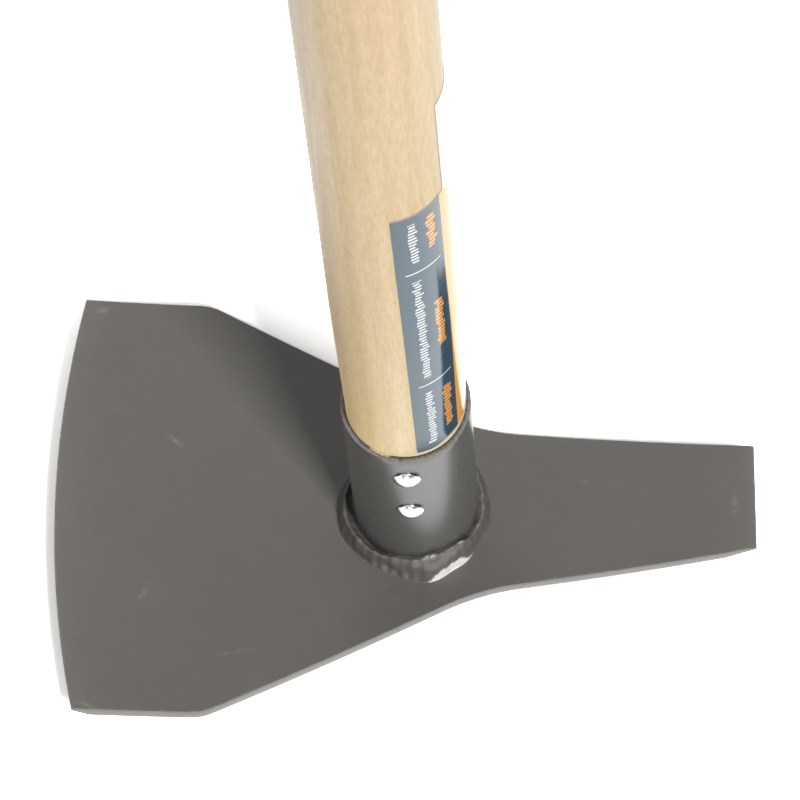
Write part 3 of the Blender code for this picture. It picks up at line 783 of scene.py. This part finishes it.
# painted light near the mouth: the shaded side made paler, the lit side tinted
mouth = painted(tree, "mouth")
mouth_lighting = put_math(tree, "ADD", put_math(tree, "MULTIPLY", mouth, MOUTH_LIGHT_STRENGTH), 1.0)
mouth_lit_wood = put_scale(tree, put_mix(tree, pore_mask, plain, WOOD_PORE), mouth_lighting)
lit_side_tint = painted(tree, "lit_side_tint")
flecks = put_noise(tree, stretched(tree, (1.0, 1.0, 0.2), place), 900.0, 3.0, 0.6)
flecked = put_mix(tree, put_step(tree, flecks, 0.35, 0.65), mouth_lit_wood, FLECK_TINT, "MULTIPLY")
lit_side_tinted = put_mix(tree, lit_side_tint, flecked, LIT_SIDE_TINT, "MULTIPLY")
tree.links.new(lit_side_tinted, result.inputs["Color"])
tree.links.new(put_math(tree, "SUBTRACT", 1.0, pore_mask), result.inputs["Height"])
tree.links.new(put_step(tree, streaks, 0.2, 0.8, 0.36, 0.5), result.inputs["Roughness"])


def ash_finish(name, light, dark, coat):
    """Ash wood, lacquered or unlacquered."""
    material, tree, surface = new_finish(name)
    wood = put_node(tree, "ShaderNodeGroup", {"Light": light, "Dark": dark},
                    node_tree=wood_group).outputs
    wire_surface(tree, surface, wood["Color"], wood["Roughness"], wood["Height"], 0.04 * mm)
    surface.inputs["Coat Weight"].default_value = coat
    surface.inputs["Coat Roughness"].default_value = 0.25
    return material


handle_wood = ash_finish("handle_wood", WOOD_LIGHT, WOOD_DARK, coat=0.08)
tree = handle_wood.node_tree
surface = tree.nodes["Principled BSDF"]
above = put_node(tree, "ShaderNodeSeparateXYZ", {0: own_place(tree)}).outputs["Z"]
# crushed pale wood at the rim, also painted paler over the shade where the wood meets the rim
crushed_and_lit = put_step(tree, above, RIM_Z + CRUSHED_AND_LIT_HEIGHT, RIM_Z + 0.5 * CRUSHED_AND_LIT_HEIGHT)
whole = surface.inputs["Base Color"].links[0].from_socket
tree.links.new(put_mix(tree, crushed_and_lit, whole, CRUSHED_AND_LIT_WOOD), surface.inputs["Base Color"])
settle(handle, handle_wood)
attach(handle, "root")
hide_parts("handle")


# Torn fibres: ash that the rim shaved off the handle. It stands at the mouth in short curls, in
# front on the left, and is bare of lacquer.
SPLINTER_THICKNESS = 0.09 * mm
# one splinter, from its foot up: height, half width and curl in mm
SPLINTER = ((0.0, 0.5, 0.0), (0.4, 0.45, 0.07), (0.75, 0.38, 0.22), (1.0, 0.15, 0.42))
LEAST_TURN, MOST_TURN = (0.5, -0.7, -0.4), (1.5, 0.7, 0.4)     # in radians, about X, Y and Z
LEAST_SIZE, MOST_WIDTH, MOST_CURL = (0.15, 1.0, 0.2), 0.9, 1.0     # times that splinter's own
RAW_LIGHT = (0.74, 0.60, 0.38, 1.0)
RAW_DARK = (0.56, 0.42, 0.23, 1.0)

raw_wood = ash_finish("raw_wood", RAW_LIGHT, RAW_DARK, coat=0.0)

form = bmesh.new()
splinter = []
for height, half_width, curl in SPLINTER:
    splinter.append([form.verts.new((x * half_width * mm, -curl * mm, height * mm))
                     for x in (-1.0, 1.0)])
for low, high in zip(splinter, splinter[1:]):
    form.faces.new((low[0], low[1], high[1], high[0]))
fibres = new_piece("torn_fibres", mesh_from("torn_fibres", form))
skin = fibres.modifiers.new("skin", "SOLIDIFY")
skin.thickness = SPLINTER_THICKNESS
skin.offset = 0.0

tufts, given, result = new_geometry_tree("rim_fibres", {
    "Radius": "Float", "Height": "Float", "Start": "Float", "Sweep": "Float", "Count": "Int",
    "Longest": "Float", "Seed": "Int"})
arc = put_node(tufts, "GeometryNodeCurveArc", {
    "Resolution": 64, "Radius": given["Radius"], "Start Angle": given["Start"],
    "Sweep Angle": given["Sweep"]}, mode="RADIUS")
points = put_node(tufts, "GeometryNodeCurveToPoints", {
    "Curve": arc.outputs["Curve"], "Count": given["Count"]}, mode="COUNT")
lifted = put_node(tufts, "GeometryNodeSetPosition", {
    "Geometry": points.outputs["Points"],
    "Offset": put_node(tufts, "ShaderNodeCombineXYZ", {2: given["Height"]}).outputs[0]})
place = put_node(tufts, "GeometryNodeInputPosition").outputs[0]
split = put_node(tufts, "ShaderNodeSeparateXYZ", {0: place}).outputs
facing = put_math(tufts, "ADD", put_math(tufts, "ARCTAN2", split["Y"], split["X"]), math.pi / 2.0)
lean = put_node(tufts, "FunctionNodeRandomValue", {
    0: LEAST_TURN, 1: MOST_TURN, "Seed": given["Seed"]}, data_type="FLOAT_VECTOR").outputs[0]
turned = put_node(tufts, "ShaderNodeVectorMath", {
    0: lean, 1: put_node(tufts, "ShaderNodeCombineXYZ", {2: facing}).outputs[0]})
most = put_node(tufts, "ShaderNodeCombineXYZ", {0: MOST_WIDTH, 1: MOST_CURL, 2: given["Longest"]})
size = put_node(tufts, "FunctionNodeRandomValue", {
    0: LEAST_SIZE, 1: most.outputs[0], "Seed": put_math(tufts, "ADD", given["Seed"], 1.0)},
    data_type="FLOAT_VECTOR")
spread = put_node(tufts, "GeometryNodeInstanceOnPoints", {
    "Points": lifted.outputs[0], "Instance": given["Geometry"], "Rotation": turned.outputs[0],
    "Scale": size.outputs[0]})
finish_tree(tufts, spread.outputs[0], raw_wood, result)
run_tree(fibres, tufts, {
    "Radius": BORE_RADIUS + 0.3 * mm, "Height": RIM_Z + 0.1 * mm, "Start": math.radians(-125.0),
    "Sweep": math.radians(20.0), "Count": 34, "Longest": 0.9, "Seed": 4})
settle(fibres, raw_wood, sharp_angle=0.0)
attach(fibres, "root")


# Rivets: two solid rivets driven through tube and tenon, with low domed heads both sides, left in
# bright zinc. Each head's upper lip is darkened with painted shade from the tube above it.
RIVET_RADIUS, HEAD_RADIUS, HEAD_HEIGHT, HEAD_LIP = 2.5 * mm, 4.65 * mm, 2.4 * mm, 0.35 * mm
HEAD_SINK = 0.8 * mm                  # how far the heads reach into the tube's curve
UPPER_RIVET_DROP, LOWER_RIVET_DROP = 14.2 * mm, 40.2 * mm      # below the rim
RIVET_STEPS = 64
GLINT_GAP = (-0.5, 0.3, 0.2)         # across a head: painted shade lies along its upper lip, but is left off here so the zinc shows a glint
ZINC_BRIGHT = (0.62, 0.65, 0.67, 1.0)
ZINC_DULL = (0.48, 0.51, 0.53, 1.0)
LIP_SHADE_COLOR = (0.085, 0.11, 0.115, 1.0)

cap_height = HEAD_HEIGHT - HEAD_LIP
cap_radius = (HEAD_RADIUS ** 2 + cap_height ** 2) / (2.0 * cap_height)
cap_middle = TUBE_RADIUS + HEAD_HEIGHT - cap_radius
dome = [(cap_radius * math.sin(angle), cap_middle + cap_radius * math.cos(angle))
        for angle in np.linspace(0.0, math.asin(HEAD_RADIUS / cap_radius), 20)]
dome += [(HEAD_RADIUS + 0.05 * mm, TUBE_RADIUS + 0.6 * HEAD_LIP), (HEAD_RADIUS, TUBE_RADIUS),
         (HEAD_RADIUS - 0.1 * mm, TUBE_RADIUS - HEAD_SINK)]
shank = [(RIVET_RADIUS, TUBE_RADIUS - HEAD_SINK), (RIVET_RADIUS, HEAD_SINK - TUBE_RADIUS)]
profile = dome + shank + [(radius, -z) for radius, z in reversed(dome)]
form = turned_form(profile, RIVET_STEPS)
bmesh.ops.rotate(form, verts=form.verts, cent=(0.0, 0.0, 0.0),
                 matrix=Matrix.Rotation(math.radians(90.0), 3, "X"))
lip_shade_layer = form.verts.layers.float.new("lip_shade")
# painted shade along each head's upper lip, left off in the middle for a glint
for vertex in form.verts:
    along, up = vertex.co.x / HEAD_RADIUS, vertex.co.z / HEAD_RADIUS
    on_lip = math.hypot(along, up) > 0.995
    glint_gap = 0.9 * window(along, *GLINT_GAP)
    vertex[lip_shade_layer] = on_lip * min(1.0 - glint_gap, max(0.0, 2.5 * up - 0.8))
rivets = new_piece("rivets", mesh_from("rivets", form))

zinc, tree, surface = new_finish("zinc")
place = own_place(tree)
dull = put_noise(tree, place, 600.0, 4.0, 0.6)
bright = put_mix(tree, put_step(tree, dull, 0.45, 0.75), ZINC_BRIGHT, ZINC_DULL)
lip_shade = painted(tree, "lip_shade")
wire_surface(tree, surface, put_mix(tree, lip_shade, bright, LIP_SHADE_COLOR),
             put_step(tree, dull, 0.3, 0.8, 0.14, 0.3), dull, 0.004 * mm)
surface.inputs["Metallic"].default_value = 1.0

row, given, result = new_geometry_tree("rivet_row", {
    "Count": "Int", "First Height": "Float", "Pitch": "Float"})
line = put_node(row, "GeometryNodeMeshLine", {
    "Count": given["Count"],
    "Start Location": put_node(row, "ShaderNodeCombineXYZ", {2: given["First Height"]}).outputs[0],
    "Offset": put_node(row, "ShaderNodeCombineXYZ", {2: given["Pitch"]}).outputs[0]},
    mode="OFFSET")
spread = put_node(row, "GeometryNodeInstanceOnPoints", {
    "Points": line.outputs[0], "Instance": given["Geometry"]})
finish_tree(row, spread.outputs[0], zinc, result)
run_tree(rivets, row, {"Count": 2, "First Height": RIM_Z - UPPER_RIVET_DROP,
                       "Pitch": UPPER_RIVET_DROP - LOWER_RIVET_DROP})
settle(rivets, zinc, sharp_angle=40.0)
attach(rivets, "root")
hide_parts("upper_rivet", "lower_rivet")


# Label: a glossy printed sleeve glued part of the way round the wood, navy and orange on white.
# It has rows of plain strokes where a maker prints words.
LABEL_LIFT, LABEL_TOP, LABEL_TAB_TOP = 4.4 * mm, 171.0 * mm, 223.0 * mm
LABEL_START, LABEL_TAB_START, LABEL_END = -78.0, -24.0, 77.0
LABEL_TWIST = -4.2                    # degrees that it was wound askew, from its foot to its top
PAPER = 0.16 * mm
GLUE = 0.06 * mm
FOOT_FLARE, FLARE_FADE = 0.85 * mm, 2.4 * mm    # torn wood at the rim holds its foot out
LEAST_FLARE, FLARED_SIDE = 0.12, (-120.0, -38.0, 30.0)
RULE_HEIGHTS, RULE_WIDTH, RULE_SPAN = (53.0 * mm, 134.0 * mm), 0.7 * mm, (-70.0, -35.0)
EDGE_TURN, EDGE_RISE = 0.3, 0.3 * mm           # half a printed edge's softness, round and up
FOOT_ROWS_TOP = LABEL_LIFT + 3.0 * mm          # rows lie close together up to here
NAVY = (0.006, 0.052, 0.084, 1.0)
ORANGE = (0.90, 0.38, 0.055, 1.0)
WHITE = (0.78, 0.77, 0.77, 1.0)
PALE = (0.72, 0.74, 0.76, 1.0)
BANDS = ((-30.0, ORANGE), (-15.0, WHITE))      # where each colour starts, in degrees
# strokes: middle and half width in degrees, heights from and to in mm, pitch, weight and ink
STROKES = ((-60.8, 4.6, ((7.0, 47.0), (58.0, 128.0), (140.0, 166.0)), 1.9 * mm, 0.52, PALE),
           (-42.0, 5.4, ((13.0, 44.0), (76.0, 108.0), (145.0, 166.0)), 2.4 * mm, 0.7, ORANGE))

label_angles = np.concatenate([np.linspace(LABEL_START, LABEL_TAB_START, 40),
                               np.linspace(LABEL_TAB_START, LABEL_END, 60)[1:]])
label_heights = np.concatenate([np.linspace(LABEL_LIFT, FOOT_ROWS_TOP, 9)[:-1],
                                np.linspace(FOOT_ROWS_TOP, LABEL_TOP, 90),
                                np.linspace(LABEL_TOP, LABEL_TAB_TOP, 28)[1:]])
form = bmesh.new()
around_layer = form.verts.layers.float.new("around")
columns = []
for turn in label_angles:
    column = []
    flare = FOOT_FLARE * (LEAST_FLARE + (1.0 - LEAST_FLARE) * window(turn, *FLARED_SIDE))
    for height in label_heights:
        rise = height - LABEL_LIFT
        radius = handle_radius(height) + GLUE + flare * math.exp(-rise / FLARE_FADE)
        angle = math.radians(turn + LABEL_TWIST * height / LABEL_TOP)
        vertex = form.verts.new((radius * math.cos(angle), radius * math.sin(angle),
                                 RIM_Z + height))
        vertex[around_layer] = turn
        column.append(vertex)
    columns.append(column)
for k, (column, following) in enumerate(zip(columns, columns[1:])):
    for j in range(len(label_heights) - 1):
        if label_angles[k] < LABEL_TAB_START and label_heights[j] >= LABEL_TOP:
            continue
        form.faces.new((column[j], following[j], following[j + 1], column[j + 1]))
loose = [vertex for vertex in form.verts if not vertex.link_faces]
bmesh.ops.delete(form, geom=loose, context="VERTS")
label = new_piece("paper_label", mesh_from("paper_label", form))
paper = label.modifiers.new("paper", "SOLIDIFY")
paper.thickness = PAPER
paper.offset = 1.0

label_print, tree, surface = new_finish("label_print")
place = own_place(tree)
split = put_node(tree, "ShaderNodeSeparateXYZ", {0: place}).outputs
around = painted(tree, "around")
above = put_math(tree, "SUBTRACT", split["Z"], RIM_Z)


def between(tree, value, low, high, soft):
    """1 inside a range, with soft ends."""
    return put_math(tree, "MULTIPLY", put_step(tree, value, low - soft, low + soft),
                    put_step(tree, value, high + soft, high - soft))


def print_rows(tree, middle, half_width, heights, pitch, weight, ink, color):
    """Rows of short strokes up the handle, each of its own length, where words would stand."""
    row = put_math(tree, "DIVIDE", above, pitch)
    chance = put_node(tree, "ShaderNodeTexWhiteNoise", {"W": put_math(tree, "FLOOR", row)},
                      noise_dimensions="1D").outputs["Color"]
    chances = put_node(tree, "ShaderNodeSeparateXYZ", {0: chance}).outputs
    offset = put_math(tree, "SUBTRACT", around, put_math(
        tree, "ADD", put_math(tree, "MULTIPLY", chances[0], half_width * 0.5),
        middle - half_width * 0.25))
    reach = put_math(tree, "ADD", put_math(tree, "MULTIPLY", chances[1], half_width * 0.45),
                     half_width * 0.55)
    short = put_math(tree, "SUBTRACT", put_math(tree, "ABSOLUTE", offset), reach)
    stroke = put_math(tree, "MULTIPLY", put_step(tree, short, 0.3, -0.3),
                      between(tree, put_math(tree, "FRACT", row), 0.12, 0.12 + weight, 0.1))
    for low, high in heights:
        inked = put_math(tree, "MULTIPLY", stroke,
                         between(tree, above, low * mm, high * mm, 0.1 * mm))
        color = put_mix(tree, inked, color, ink)
    return color


print_color = NAVY
for start, ink in BANDS:
    past = put_step(tree, around, start - EDGE_TURN, start + EDGE_TURN)
    print_color = put_mix(tree, past, print_color, ink)
above_top = put_step(tree, above, LABEL_TOP - EDGE_RISE, LABEL_TOP + EDGE_RISE)
print_color = put_mix(tree, above_top, print_color, WHITE)
for height in RULE_HEIGHTS:
    rule = put_math(tree, "MULTIPLY", between(tree, above, height - RULE_WIDTH / 2.0,
                                              height + RULE_WIDTH / 2.0, EDGE_RISE / 2.0),
                    between(tree, around, *RULE_SPAN, 0.4))
    print_color = put_mix(tree, rule, print_color, PALE)
for rows in STROKES:
    print_color = print_rows(tree, *rows, print_color)
fibre = put_noise(tree, place, 900.0, 3.0)
wire_surface(tree, surface, print_color, put_step(tree, fibre, 0.3, 0.7, 0.08, 0.13), fibre,
             0.004 * mm)
surface.inputs["IOR"].default_value = 1.45

settle(label, label_print)
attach(label, "root")
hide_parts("label")
